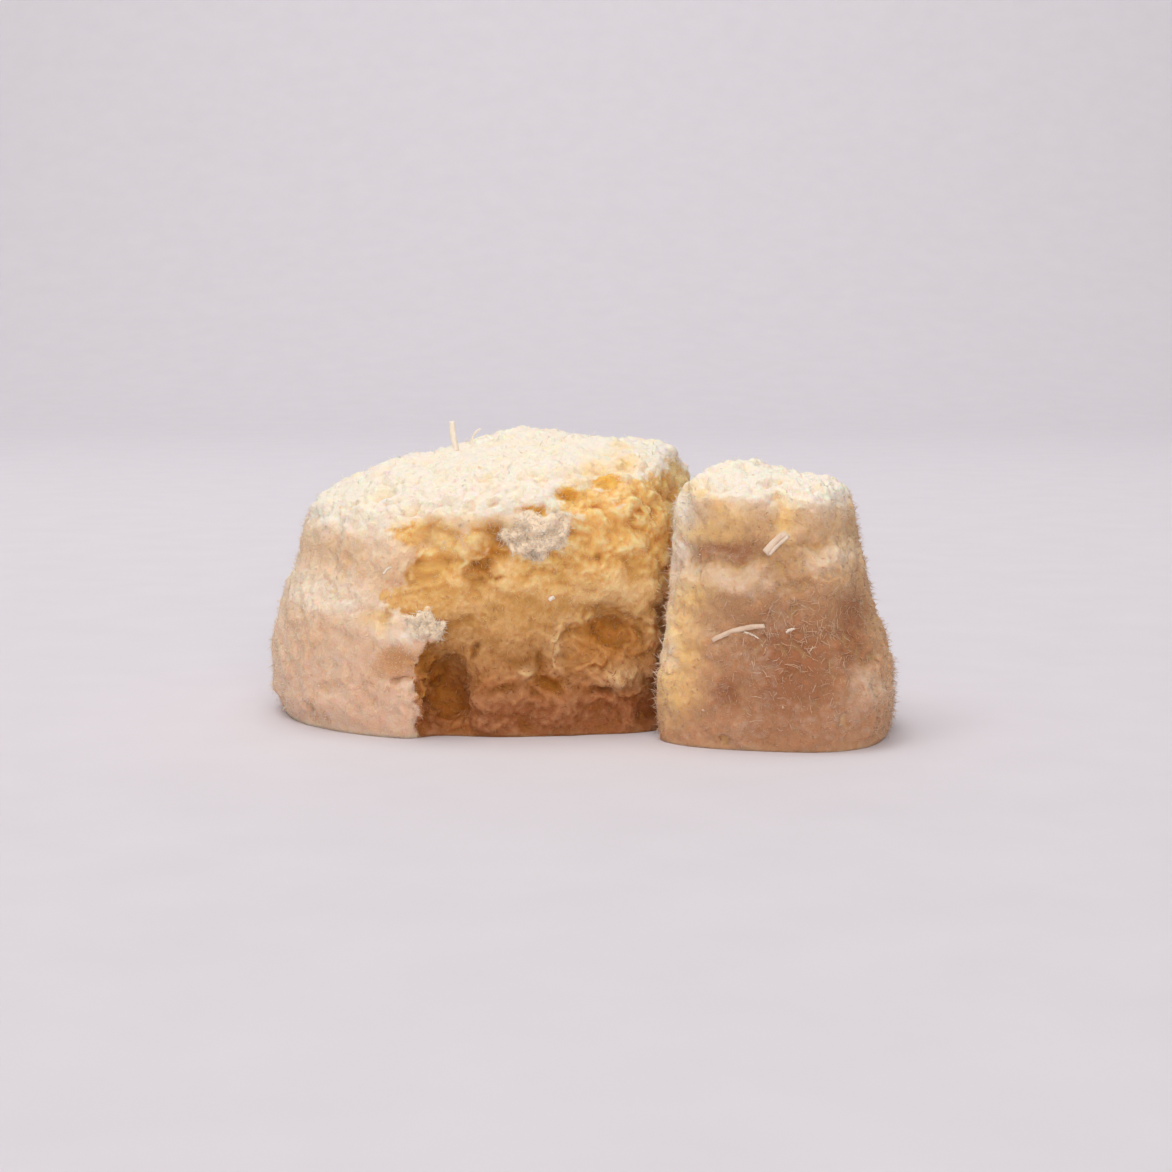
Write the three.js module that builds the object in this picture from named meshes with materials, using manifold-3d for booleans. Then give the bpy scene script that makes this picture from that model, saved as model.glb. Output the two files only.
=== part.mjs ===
// A chilled coconut cake: soaked sponge rolled in shredded coconut, torn open along its front and
// its right end, with the piece that was broken off standing in front of the tear.
// Millimetres, +Z up. The torn front faces -Y, and the broken-off piece stands at +X.
import * as THREE from "three";
import { ImprovedNoise } from "three/addons/math/ImprovedNoise.js";
import { mergeVertices } from "three/addons/utils/BufferGeometryUtils.js";
import Module from "manifold-3d";

// Hollows (into the cake, +) and swellings (out of it, -) on a face seen from the front: place, half size
// and depth.
const CAKE_RELIEF = [
  { x: -37.5, z: 18, rx: 13, rz: 4, depth: -1.1 }, // rounded top of the lower tier
  { x: -43, z: 26.5, rx: 9, rz: 4, depth: 0.9 },
];
const PIECE_RELIEF = [
  { x: 24, z: 23, rx: 8, rz: 5.5, depth: -1.7 },
  { x: 37.5, z: 25.5, rx: 7, rz: 6, depth: -1.7 },
  { x: 45, z: 8, rx: 6, rz: 6, depth: -1.2 },
  { x: 21, z: 36, rx: 7, rz: 4.5, depth: -1 },
  { x: 30, z: 38, rx: 2.4, rz: 7, depth: 1.7 }, // crease down from the crown
];

// The cake before it was broken: a low mound on a rounded-oblong plan, wider at the foot, with a ledge
// half way up.
// The profile gives the share of the plan's half size, and the height, from the foot to the crown.
const CAKE = {
  centre: [-4.3, 0],
  yaw: 0,
  halfLength: 48,
  halfDepth: 36,
  planPower: 2.3,
  profile: [
    [0.95, 0], [0.985, 2], [1, 8.5], [0.99, 15], [0.965, 20], [0.935, 22.5], [0.915, 26], [0.89, 30.5],
    [0.865, 33.5], [0.825, 36], [0.755, 38.2], [0.65, 40.6], [0.52, 42.4], [0.35, 43.7], [0, 44.5],
  ],
  lean: 0,
  crownTilt: 0.8,
  bumps: [
    { x: -10.5, y: 4, radius: 14, height: 2.2 },
    { x: -25, y: 6, radius: 9, height: -0.9 },
  ],
  relief: CAKE_RELIEF,
  lumpHeight: 1.1,
  lumpSize: 13,
  seed: 3,
  around: 76,
  up: 29,
};

// The broken-off piece: a smaller block with the same coated crown and a flared foot, leaning a little to -X.
const PIECE = {
  centre: [29.6, -22.5],
  yaw: THREE.MathUtils.degToRad(-14),
  halfLength: 19,
  halfDepth: 19.2,
  planPower: 3,
  profile: [
    [0.95, 0], [0.985, 1.5], [1, 7.5], [0.965, 12.5], [0.885, 17], [0.83, 20], [0.81, 23.5], [0.77, 28],
    [0.745, 32], [0.735, 35], [0.71, 38], [0.6, 40.3], [0.33, 41.6], [0, 42.2],
  ],
  lean: -0.055,
  crownTilt: -0.6,
  bumps: [
    { x: 23.5, y: -23, radius: 10, height: 1.2 },
    { x: 32, y: -22, radius: 6.5, height: -1.5 }, // groove between the two lobes of the crown
  ],
  relief: PIECE_RELIEF,
  lumpHeight: 0.8,
  lumpSize: 9,
  seed: 11,
  around: 48,
  up: 24,
};
const CROWN = { from: 24, to: 42, outward: 0.9 }; // heights between which the wall turns into the crown
const FOOT_FADE = 5; // lumps fade out below this height, so that the foot stays flat

// The torn edge from above, as a line from the front left round to the back. All that lies outside it
// is gone.
const CAKE_TEAR = {
  edge: [
    [-40, -33.5], [-33, -29.2], [-27, -28.8], [-20, -29.2], [-13, -29.6], [-6, -29.4], [1, -28.3],
    [7, -26.4], [11, -23.8], [13.6, -18.8], [15.6, -12], [17.2, -3], [18, 9], [19.2, 22], [21, 33],
    [23, 46],
  ],
  close: [[60, 46], [60, -60], [-40, -60]],
  heart: [-4.3, 0],
  relief: [
    { x: -19, z: 39, rx: 11, rz: 6, depth: -4.5 }, // brow of coating left over the tear
    { x: -27.4, z: 17, rx: 6.6, rz: 5.5, depth: -8.5 }, // broken lip of the lower wall
    { x: -31, z: 6, rx: 8, rz: 11, depth: -8 }, // wall left standing under the lip
    { x: -21.5, z: 7, rx: 4.6, rz: 7.5, depth: 7 }, // cavity beside the lip
    { x: -24, z: 27.5, rx: 6, rz: 4.5, depth: 1.6 },
    { x: -16.5, z: 25, rx: 3.6, rz: 2.6, depth: 2.4 },
    { x: 4.5, z: 16, rx: 6, rz: 4, depth: 4.2 }, // cave low on the right
    { x: -2.5, z: 13.5, rx: 3, rz: 3, depth: 2.6 },
    { x: 6, z: 7.5, rx: 6, rz: 5, depth: -2.6 },
    { x: -4.5, z: 12, rx: 2, rz: 4.5, depth: -1.6 }, // thin ridge between two hollows
    { x: -9, z: 8, rx: 4, rz: 4, depth: -1.4 },
    { x: -2, z: 38.5, rx: 3.8, rz: 2.6, depth: 2.6 }, // pocket under the crest
    { x: 4.5, z: 40, rx: 4.5, rz: 2.4, depth: 2.2 },
  ],
  seed: 5,
};
const PIECE_TEAR = {
  edge: [
    [4, -42], [11.5, -30], [16, -23], [20, -16.5], [24, -10.5], [30, -7], [37, -6], [46, -8], [62, -15],
  ],
  close: [[62, 40], [4, 40]],
  heart: [32, -26],
  relief: [],
  seed: 8,
};
const CRAG_HEIGHT = 1.7; // depth of the crags in the torn crumb
const CRAG_SIZE = 7;
const TEAR_BELOW = 4; // how far the torn-away region starts under the foot
const TEAR_HEIGHT = 58;
const TEAR_STEPS = 27;
const TEAR_SEGMENTS = 4;
// The crumbled top of a tear: above a height it slopes back to its crest, more and more towards the right.
const CREST = { from: -2, to: 9, height: 32.5, reach: 11, depth: 4.5 };

// The flap of coconut coating that hangs over the tear, and the ragged end of the lip low on its left, as
// overlapping lumps.
const CLUMPS = [
  { centre: [-10, -28.6, 31], size: [5.6, 5.4, 5.4] },
  { centre: [-8.2, -28.7, 29.8], size: [6, 5.8, 5] },
  { centre: [-5.8, -28.5, 31.4], size: [6.2, 5.8, 5.4] },
  { centre: [-7.6, -28.6, 33], size: [6.4, 5.4, 5] },
  { centre: [-4.4, -28.2, 34.2], size: [5, 4.4, 3.8] },
  { centre: [-2.2, -27.6, 36], size: [4.6, 4, 2.8] },
  { centre: [-25, -31.8, 18.4], size: [4.2, 3.8, 3.2] },
  { centre: [-23.4, -31, 17.2], size: [3.6, 4, 3.2] },
  { centre: [-23.2, -30.6, 15.3], size: [3.2, 3.8, 3] },
];
const CLUMP_ROUGHNESS = 0.5;
const CLUMP_ROUGH_SIZE = 3;
const CLUMP_SEED = 2;

// Shreds of coconut large enough to see one by one.
const SHRED = { length: [3, 5.5], width: [0.7, 1.1], thickness: 0.6, curl: 0.45, sunk: 0.12, tilt: 0.25 };
const CAKE_SHREDS = 50;
const PIECE_SHREDS = 34;
const SHRED_TEAR_MARGIN = 3.2; // shreds stay this far from a torn edge
const SHRED_LOWEST = 4;
// Two big shreds on the front of the broken-off piece: place seen from the front, size and slope.
const PIECE_BIG_SHREDS = [
  { x: 29.4, z: 30.6, length: 5.4, width: 2.1, slope: 0.62 },
  { x: 23, z: 16.6, length: 8.4, width: 1.2, slope: 0.42 },
];

const CAKE_COLOUR = 0xeedfcb;
const PIECE_COLOUR = 0xe6d0b5;
const ROUGHNESS = 0.85;

const FINE_LUMPS = { ratio: 2.1, share: 0.45 }; // a finer set of lumps rides on each coarse one
const SEED_STRIDE = 7.31; // how far apart two seeds sample the lumps
const RELIEF_PLATEAU = 0.25; // share of a hollow or swelling that has its full depth
const PROFILE_REFINE = 4; // profile points that shreds are set on, for each one of the solid
const ANGLE_STEP = 0.02; // radians, to find which way a surface faces
const CLUMP_SIDES = 9;
const CLUMP_RINGS = 6;
const WELD = 1e-4;
const UP = new THREE.Vector3(0, 0, 1);

const { smoothstep, lerp, seededRandom } = THREE.MathUtils;
const perlin = new ImprovedNoise();
const wasm = await Module();
wasm.setup();

// A closed geometry as a solid that can be joined and cut.
function toSolid(geometry) {
  const bare = geometry.clone();
  bare.deleteAttribute("normal");
  bare.deleteAttribute("uv");
  const merged = mergeVertices(bare, WELD);
  const index = merged.index.array;
  const triVerts = [];
  for (let i = 0; i < index.length; i += 3) {
    const [a, b, c] = index.slice(i, i + 3);
    if (a !== b && b !== c && c !== a) triVerts.push(a, b, c);
  }
  const vertProperties = merged.attributes.position.array;
  const mesh = new wasm.Mesh({ numProp: 3, vertProperties, triVerts: Uint32Array.from(triVerts) });
  return new wasm.Manifold(mesh);
}

function toGeometry(solid) {
  const mesh = solid.getMesh();
  const geometry = new THREE.BufferGeometry();
  geometry.setAttribute("position", new THREE.BufferAttribute(mesh.vertProperties, 3));
  geometry.setIndex(new THREE.BufferAttribute(mesh.triVerts, 1));
  geometry.computeVertexNormals();
  return geometry;
}

// The largest body of a solid, without the loose scraps that a cut can leave.
function mainBody(solid) {
  return solid.decompose().reduce((best, body) => (body.volume() > best.volume() ? body : best));
}

// Moves every vertex of a geometry to where the function says.
function reshape(geometry, place) {
  const position = geometry.attributes.position;
  for (let i = 0; i < position.count; i++) {
    const moved = place(new THREE.Vector3().fromBufferAttribute(position, i));
    position.setXYZ(i, moved.x, moved.y, moved.z);
  }
  return geometry;
}

// Smooth lumps with a finer set on top, from about -1 to 1.
function lumps(point, size, seed) {
  const coarse = point.clone().divideScalar(size).addScalar(seed * SEED_STRIDE);
  const fine = coarse.clone().multiplyScalar(FINE_LUMPS.ratio);
  const ripple = FINE_LUMPS.share * perlin.noise(fine.x, fine.y, fine.z);
  return perlin.noise(coarse.x, coarse.y, coarse.z) + ripple;
}

// Sum of the hollows and swellings at a place on a face that is seen from the front.
function reliefDepth(relief, x, z) {
  return relief.reduce((sum, spot) => {
    const away = Math.hypot((x - spot.x) / spot.rx, (z - spot.z) / spot.rz);
    return sum + spot.depth * (1 - smoothstep(away, RELIEF_PLATEAU, 1));
  }, 0);
}

// A mound's side from the foot to the crown, as distances from its axis and heights.
function profilePoints(mound, count) {
  const corners = mound.profile.map(([share, height]) => new THREE.Vector2(share * mound.halfLength, height));
  const points = new THREE.SplineCurve(corners).getSpacedPoints(count);
  points[count].x = 0;
  return points;
}

// The point of a mound's lumpy surface for a point of its profile and an angle round its axis.
function moundPoint(mound, { x: radius, y: height }, angle) {
  const { halfLength, halfDepth, planPower, centre, bumps } = mound;
  const across = Math.abs(Math.cos(angle) / halfLength) ** planPower;
  const along = Math.abs(Math.sin(angle) / halfDepth) ** planPower;
  const reach = (radius / halfLength) * (across + along) ** (-1 / planPower);
  const crown = smoothstep(height, CROWN.from, CROWN.to);
  const point = new THREE.Vector3(reach * Math.cos(angle), reach * Math.sin(angle), height);
  point.z += (mound.crownTilt * crown * point.x) / halfLength;
  point.applyAxisAngle(UP, mound.yaw);
  const out = new THREE.Vector3(point.x, point.y, crown * halfDepth * CROWN.outward).normalize();
  point.x += centre[0] + mound.lean * height;
  point.y += centre[1];
  const raised = bumps.reduce((sum, bump) => {
    const away = Math.hypot(point.x - bump.x, point.y - bump.y) / bump.radius;
    return sum + bump.height * (1 - smoothstep(away, 0, 1));
  }, 0);
  point.z += raised * crown;
  const hollow = point.y < centre[1] ? reliefDepth(mound.relief, point.x, point.z) : 0;
  const push = mound.lumpHeight * lumps(point, mound.lumpSize, mound.seed) - hollow;
  return point.addScaledVector(out, push * smoothstep(height, 0, FOOT_FADE));
}

// A lumpy mound: its profile turned on the lathe, then drawn out to the plan's outline.
function moundSolid(mound) {
  const profile = [new THREE.Vector2(0, 0), ...profilePoints(mound, mound.up)];
  const lathe = new THREE.LatheGeometry(profile, mound.around);
  lathe.rotateX(Math.PI / 2);
  reshape(lathe, (v) => {
    const onProfile = new THREE.Vector2(Math.hypot(v.x, v.y), v.z);
    return moundPoint(mound, onProfile, Math.atan2(v.y, v.x));
  });
  return toSolid(lathe);
}

function tearShape({ edge, close }) {
  const [first, ...rest] = edge.map(([x, y]) => new THREE.Vector2(x, y));
  const shape = new THREE.Shape().moveTo(first.x, first.y).splineThru(rest);
  close.forEach(([x, y]) => shape.lineTo(x, y));
  return shape;
}

// What a tear takes away: everything outside the torn edge, with a craggy wall.
function tearSolid(tear) {
  const tool = new THREE.ExtrudeGeometry(tearShape(tear), {
    depth: TEAR_HEIGHT,
    steps: TEAR_STEPS,
    curveSegments: TEAR_SEGMENTS,
    bevelEnabled: false,
  });
  tool.translate(0, 0, -TEAR_BELOW);
  reshape(tool, (v) => {
    const out = new THREE.Vector3(v.x - tear.heart[0], v.y - tear.heart[1], 0).normalize();
    const aboveCrest = Math.max(0, (v.z - CREST.height) / CREST.reach);
    const rounded = CREST.depth * smoothstep(v.x, CREST.from, CREST.to) * aboveCrest ** 2;
    const crag = CRAG_HEIGHT * lumps(v, CRAG_SIZE, tear.seed);
    const hollow = reliefDepth(tear.relief, v.x, v.z);
    return v.addScaledVector(out, -rounded - crag).add(new THREE.Vector3(0, hollow, 0));
  });
  return toSolid(tool);
}

// Is a point seen from above inside a closed outline?
function isInside(point, outline) {
  const crossings = outline.filter((a, i) => {
    const b = outline[(i + 1) % outline.length];
    if (a.y > point.y === b.y > point.y) return false;
    return point.x < a.x + ((b.x - a.x) * (point.y - a.y)) / (b.y - a.y);
  });
  return crossings.length % 2 === 1;
}

// Is a point of a mound clear of what a tear takes away?
function isCoated(point, outline) {
  const flat = new THREE.Vector2(point.x, point.y);
  const near = outline.some((corner) => corner.distanceTo(flat) < SHRED_TEAR_MARGIN);
  return !near && !isInside(flat, outline);
}

// The outward direction of a mound's surface at a point of its finely divided profile.
function moundNormal(mound, profile, at, angle) {
  const left = moundPoint(mound, profile[at], angle - ANGLE_STEP);
  const right = moundPoint(mound, profile[at], angle + ANGLE_STEP);
  const lower = moundPoint(mound, profile[Math.max(at - 1, 0)], angle);
  const upper = moundPoint(mound, profile[Math.min(at + 1, profile.length - 1)], angle);
  return right.sub(left).cross(upper.sub(lower)).normalize();
}

// One shred of coconut: a thin curled strip laid on a surface, along a direction that is turned into it.
function shredSolid(point, normal, direction, length, width) {
  const strip = new THREE.BoxGeometry(length, width, SHRED.thickness, 2, 1, 1);
  reshape(strip, (v) => v.setZ(v.z + SHRED.curl * ((2 * v.x) / length) ** 2));
  const across = new THREE.Vector3().crossVectors(normal, direction).normalize();
  const along = new THREE.Vector3().crossVectors(across, normal);
  strip.applyMatrix4(new THREE.Matrix4().makeBasis(along, across, normal));
  const seat = point.clone().addScaledVector(normal, SHRED.sunk);
  strip.translate(seat.x, seat.y, seat.z);
  return toSolid(strip);
}

// Shreds scattered over the coated surface of a mound, by a seeded draw.
function scatteredShreds(mound, count, tear) {
  const outline = tearShape(tear).getPoints(TEAR_SEGMENTS);
  const profile = profilePoints(mound, mound.up * PROFILE_REFINE);
  const shreds = [];
  seededRandom(mound.seed);
  while (shreds.length < count) {
    const at = Math.floor(seededRandom() * profile.length);
    const angle = seededRandom() * 2 * Math.PI;
    const spin = seededRandom() * Math.PI;
    const tilt = (2 * seededRandom() - 1) * SHRED.tilt;
    const length = lerp(...SHRED.length, seededRandom());
    const width = lerp(...SHRED.width, seededRandom());
    const crowded = seededRandom() > profile[at].x / mound.halfLength;
    const point = moundPoint(mound, profile[at], angle);
    if (crowded || point.z < SHRED_LOWEST || !isCoated(point, outline)) continue;
    const normal = moundNormal(mound, profile, at, angle);
    const level = new THREE.Vector3(-Math.sin(angle), Math.cos(angle), 0);
    const direction = level.applyAxisAngle(normal, spin);
    const tilted = normal.applyAxisAngle(direction.clone().cross(normal).normalize(), tilt);
    shreds.push(shredSolid(point, tilted, direction, length, width));
  }
  return shreds;
}

// A big shred at a place on the front of a mound.
function bigShred(mound, { x, z, length, width, slope }) {
  const profile = profilePoints(mound, mound.up * PROFILE_REFINE);
  const places = profile.flatMap((corner, at) =>
    Array.from({ length: mound.around }, (unused, i) => {
      const angle = -Math.PI * (i / mound.around);
      const point = moundPoint(mound, corner, angle);
      return { at, angle, point, away: Math.hypot(point.x - x, point.z - z) };
    }),
  );
  const { at, angle, point } = places.reduce((best, place) => (place.away < best.away ? place : best));
  const direction = new THREE.Vector3(Math.cos(slope), 0, Math.sin(slope));
  return shredSolid(point, moundNormal(mound, profile, at, angle), direction, length, width);
}

// A rough lump of coconut coating.
function clumpSolid({ centre, size }) {
  const clump = new THREE.SphereGeometry(0.5, CLUMP_SIDES, CLUMP_RINGS);
  clump.scale(...size);
  clump.translate(...centre);
  const middle = new THREE.Vector3(...centre);
  reshape(clump, (v) => {
    const out = v.clone().sub(middle).normalize();
    return v.addScaledVector(out, CLUMP_ROUGHNESS * lumps(v, CLUMP_ROUGH_SIZE, CLUMP_SEED));
  });
  return toSolid(clump);
}

// A mound with its tear, and the pieces of coating that are part of it.
function tornCake(mound, tear, extras) {
  const torn = mainBody(moundSolid(mound).subtract(tearSolid(tear)));
  return mainBody(wasm.Manifold.union([torn, ...extras]));
}

function namedMesh(name, solid, color) {
  const material = new THREE.MeshStandardMaterial({ color, roughness: ROUGHNESS, metalness: 0 });
  const mesh = new THREE.Mesh(toGeometry(solid), material);
  mesh.name = name;
  return mesh;
}

const body = tornCake(CAKE, CAKE_TEAR, [
  ...CLUMPS.map(clumpSolid),
  ...scatteredShreds(CAKE, CAKE_SHREDS, CAKE_TEAR),
]);
const piece = tornCake(PIECE, PIECE_TEAR, [
  ...PIECE_BIG_SHREDS.map((shred) => bigShred(PIECE, shred)),
  ...scatteredShreds(PIECE, PIECE_SHREDS, PIECE_TEAR),
]);

// Both solids, moved so that the middle of their common footprint is the origin.
const pieces = new THREE.Group();
pieces.add(namedMesh("cake_body", body, CAKE_COLOUR), namedMesh("broken_piece", piece, PIECE_COLOUR));
const box = new THREE.Box3().setFromObject(pieces);
const middle = box.getCenter(new THREE.Vector3());
pieces.position.set(-middle.x, -middle.y, -box.min.z);

const cake = new THREE.Group();
cake.add(pieces);
export default cake;
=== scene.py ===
import itertools
import math
from typing import NamedTuple

import bmesh
import bpy
import numpy as np
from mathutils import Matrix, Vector
from mathutils.bvhtree import BVHTree


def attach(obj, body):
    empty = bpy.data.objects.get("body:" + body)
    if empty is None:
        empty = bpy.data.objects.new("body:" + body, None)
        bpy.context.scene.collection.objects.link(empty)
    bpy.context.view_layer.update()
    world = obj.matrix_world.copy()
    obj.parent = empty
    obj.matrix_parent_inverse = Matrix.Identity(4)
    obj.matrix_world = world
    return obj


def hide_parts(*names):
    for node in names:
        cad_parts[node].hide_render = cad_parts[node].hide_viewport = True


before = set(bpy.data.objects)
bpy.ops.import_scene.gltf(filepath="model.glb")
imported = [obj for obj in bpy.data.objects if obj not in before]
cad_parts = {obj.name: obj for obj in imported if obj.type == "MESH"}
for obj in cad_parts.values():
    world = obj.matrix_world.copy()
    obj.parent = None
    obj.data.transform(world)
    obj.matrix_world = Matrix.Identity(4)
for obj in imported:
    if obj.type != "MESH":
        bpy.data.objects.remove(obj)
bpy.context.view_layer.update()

# Lengths are in millimetres. Places are given in the cake's own plan: +X to the right, -Y out of the torn
# front, +Z up. PLAN_ORIGIN is where the zero of that plan lies in the part's frame.
MM = 0.001
PLAN_ORIGIN = np.array([1.359, 2.570, 0.0])
TALLEST = 48.0
SEED = 20

# The two mounds before they were torn: middle and half sizes of the plan, how square the plan is, the share
# of it that is left at each height, and bumps of the crown as x, y, radius and height.
CAKE_MOUND = {
    "centre": (-4.3, 0.0),
    "half": (48.0, 36.0),
    "power": 2.3,
    "yaw": 0.0,
    "lean": 0.0,
    "heights": (0, 2, 8.5, 15, 20, 22.5, 26, 30.5, 33.5, 36, 38.2, 40.6, 42.4, 43.7, 44.5),
    "shares": (0.95, 0.985, 1, 0.99, 0.965, 0.935, 0.915, 0.89, 0.865, 0.825, 0.755, 0.65, 0.52, 0.35, 0),
    "bumps": ((-10.5, 4.0, 14.0, 2.2), (-25.0, 6.0, 9.0, -0.9)),
}
PIECE_MOUND = {
    "centre": (29.6, -22.5),
    "half": (19.0, 19.2),
    "power": 3.0,
    "yaw": math.radians(-14),
    "lean": -0.055,
    "heights": (0, 1.5, 7.5, 12.5, 17, 20, 23.5, 28, 32, 35, 38, 40.3, 41.6, 42.2),
    "shares": (0.95, 0.985, 1, 0.965, 0.885, 0.83, 0.81, 0.77, 0.745, 0.735, 0.71, 0.6, 0.33, 0),
    "bumps": ((23.5, -23.0, 10.0, 1.2), (32.0, -22.0, 6.5, -1.5)),
}
WIDEST = 2  # index of the height at which both mounds are widest

# Forms on a front: x, z, half width, half height, turn in degrees, and how far it stands out, which is below
# zero for a hollow.
CAKE_FORMS = (
    # pockets under the crest and pits in the airy crumb on the right
    (-2.9, 38.0, 2.4, 1.3, 10, -1.3), (3.6, 39.6, 2.8, 1.2, 12, -1.2), (5.6, 42.0, 2.0, 0.9, 10, -0.8),
    (-8.0, 35.6, 2.4, 0.9, 12, -1.4), (8.0, 35.2, 0.8, 0.8, 0, -1.6), (11.4, 34.6, 0.7, 0.7, 0, -1.5),
    (7.2, 33.4, 0.5, 1.1, 0, -1.0), (1.9, 35.6, 1.0, 0.7, 0, -0.9), (1.7, 28.1, 0.8, 1.3, 0, -0.9),
    # recesses and bulges under the brow
    (-24.3, 31.4, 4.6, 2.2, 4, -2.0), (-14.0, 30.0, 2.2, 2.9, 0, -2.2), (-18.4, 30.3, 1.9, 3.2, 0, 0.9),
    (-24.6, 27.4, 1.5, 1.6, 0, 1.0), (-27.5, 25.9, 1.3, 1.2, 0, 0.7), (-27.0, 24.4, 4.0, 0.7, 3, -0.6),
    (-25.0, 22.9, 4.0, 0.7, 3, -0.5),
    # pits and the shelf in the middle
    (-15.6, 26.2, 1.6, 0.9, 25, -1.8), (-13.3, 24.9, 1.2, 0.6, 20, -1.2), (-17.3, 24.1, 1.0, 1.0, 0, -1.2),
    (-4.0, 26.2, 6.0, 1.6, 3, -0.6), (5.4, 22.2, 7.0, 2.6, 0, 1.0), (-9.0, 22.5, 5.0, 1.6, -6, 0.6),
    (-12.5, 17.0, 6.0, 3.2, -8, 0.9),
    # the cave low on the right, with its ridge and rims
    (2.4, 14.6, 6.2, 3.0, 6, -0.4), (8.6, 15.4, 1.6, 0.9, -30, -1.3), (4.0, 16.6, 3.4, 1.2, 14, -0.7),
    (1.9, 11.4, 2.0, 0.6, 15, -1.1), (5.0, 13.2, 2.5, 0.6, 22, -1.0), (-4.4, 14.0, 0.9, 3.4, -10, 1.3),
    (0.5, 18.0, 4.0, 0.8, 4, 0.7), (5.3, 9.2, 5.0, 2.6, 0, 0.9), (-2.3, 14.3, 1.8, 1.8, 0, 1.2),
    # lumps and pits near the foot
    (-9.2, 10.2, 1.2, 1.1, 0, 1.7), (-7.3, 11.5, 0.6, 1.6, 10, -1.2), (-17.5, 13.3, 0.8, 0.9, 0, -1.4),
    (-5.7, 8.1, 2.0, 0.9, -25, -1.9), (-7.6, 6.1, 0.7, 0.7, 0, -1.2), (2.9, 6.6, 1.6, 0.8, 0, -1.2),
    (-13.0, 7.6, 4.5, 1.2, 8, -0.8),
    # the notch, the hole in the wall and the cavity beside the lip
    (-32.0, 18.2, 1.7, 1.6, 0, -1.4), (-28.3, 9.4, 0.9, 0.8, 0, -2.0), (-23.4, 9.0, 2.4, 4.4, 0, -2.4),
)
PIECE_FORMS = (
    # the two lobes under the crown, with the groove between them
    (22.5, 34.5, 5.0, 4.2, 0, 0.8), (35.0, 36.5, 4.0, 4.0, 0, 0.8), (29.2, 38.0, 1.1, 4.0, 0, -1.2),
    # the lobes below them, each under a crease
    (21.6, 28.0, 5.6, 0.9, 8, -1.3), (35.4, 31.2, 5.6, 0.9, 4, -1.2), (22.5, 24.4, 5.0, 2.6, 4, 1.3),
    (36.0, 27.4, 4.5, 2.8, 0, 1.3), (29.8, 27.4, 1.2, 3.2, -20, -0.8),
    # the foot
    (42.5, 13.6, 4.0, 0.8, -10, -0.8), (42.8, 9.4, 4.0, 2.8, 0, 0.8), (16.1, 23.4, 2.2, 1.0, 0, -0.5),
    (16.3, 14.5, 2.6, 0.8, 0, -0.4),
)
# Spots where the coating is gone from the brow: x, z, half width, half height.
CAKE_BARE = (
    (-2.9, 37.8, 2.4, 1.3), (3.6, 39.6, 3.0, 1.2), (-8.2, 35.4, 2.8, 1.1),
    (-24.6, 31.6, 5.6, 2.2), (-15.4, 31.0, 4.4, 2.6), (0.0, 36.6, 5.0, 2.2),
    (7.0, 37.8, 5.0, 2.4), (11.5, 37.0, 3.6, 3.6), (-27.4, 21.8, 4.6, 2.4),
)
# Spots where the coating is thin and golden crumb shows through it. On the broken-off piece, the spots along
# its left edge are golden crumb, and those in the groove between its upper lobes and on its upper left lobe
# are painted shade.
CAKE_GOLDEN = (
    (-24.6, 33.6, 5.6, 1.4), (-14.5, 33.0, 4.0, 1.4), (-32.2, 18.6, 2.0, 1.8), (5.8, 42.0, 3.4, 1.6),
    (2.0, 40.6, 5.0, 1.6),
)
PIECE_GOLDEN_AND_SHADE = (
    (30.2, 36.2, 1.2, 2.6), (16.1, 23.4, 3.2, 1.8), (15.0, 14.5, 2.4, 3.0), (12.6, 9.0, 4.2, 5.4),
    (17.0, 38.4, 2.4, 1.2), (20.5, 35.6, 3.4, 1.6), (14.0, 18.0, 3.0, 6.0), (19.6, 32.6, 4.6, 1.6),
    (30.0, 35.0, 1.6, 3.4), (15.5, 22.0, 2.6, 1.6),
)
# Spots where the coating is whiter or, below zero, darker: as the forms, with that change at the end. The
# whiter spots on the piece's left edge and on the tops of its lobes are painted light; the darker spots
# under the cake's lip and low on the piece's front are painted shade.
CAKE_WHITE_AND_SHADE = ((-28.0, 16.8, 5.5, 1.7, 0, 0.6), (-29.5, 12.0, 4.0, 2.4, 0, -0.3))
PIECE_WHITE_LIGHT_AND_SHADE = (
    (12.6, 33.0, 3.6, 9.0, 0, 1.0), (11.6, 17.0, 3.0, 8.0, 0, 0.8), (20.5, 25.4, 7.0, 2.4, 4, 0.35),
    (37.0, 29.0, 5.0, 2.0, 0, 0.3), (43.0, 9.0, 5.0, 4.0, 0, 0.25), (40.0, 18.5, 6.0, 4.0, 0, -0.2),
)
# Places where the coating is soaked and brown. This is partly soaked coating and partly painted shade: under
# the cake's lip, under the piece's upper left lobe and low on its front.
CAKE_SOAKED_AND_SHADE = ((-29.0, 12.4, 4.0, 2.4),)
PIECE_SOAKED_AND_SHADE = (
    (31.0, 14.0, 11.0, 12.0), (41.0, 20.0, 4.0, 5.0), (21.6, 30.2, 5.6, 1.8), (39.5, 16.0, 4.5, 6.5),
    (21.5, 9.0, 3.4, 4.5),
)
# Where the torn crumb is smooth and drawn out.
CAKE_CALM = (
    (-24.0, 22.5, 9.0, 4.0), (-10.0, 20.0, 9.0, 5.0), (6.0, 22.5, 8.0, 3.0), (-16.0, 12.5, 8.0, 7.0),
    (-24.0, 31.5, 5.0, 2.4),
)
# Where the steps in the torn face are eased: beside the lip, and round the cave.
CAKE_EASED = ((-18.4, 7.0, 3.0, 7.0), (0.0, 15.0, 3.0, 4.5), (8.5, 14.5, 3.0, 4.0))
# Torn edges that are frayed.
CAKE_FRAYED = ((-25.5, 8.0, 2.6, 6.5), (-24.0, 16.5, 3.0, 2.5))
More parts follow.
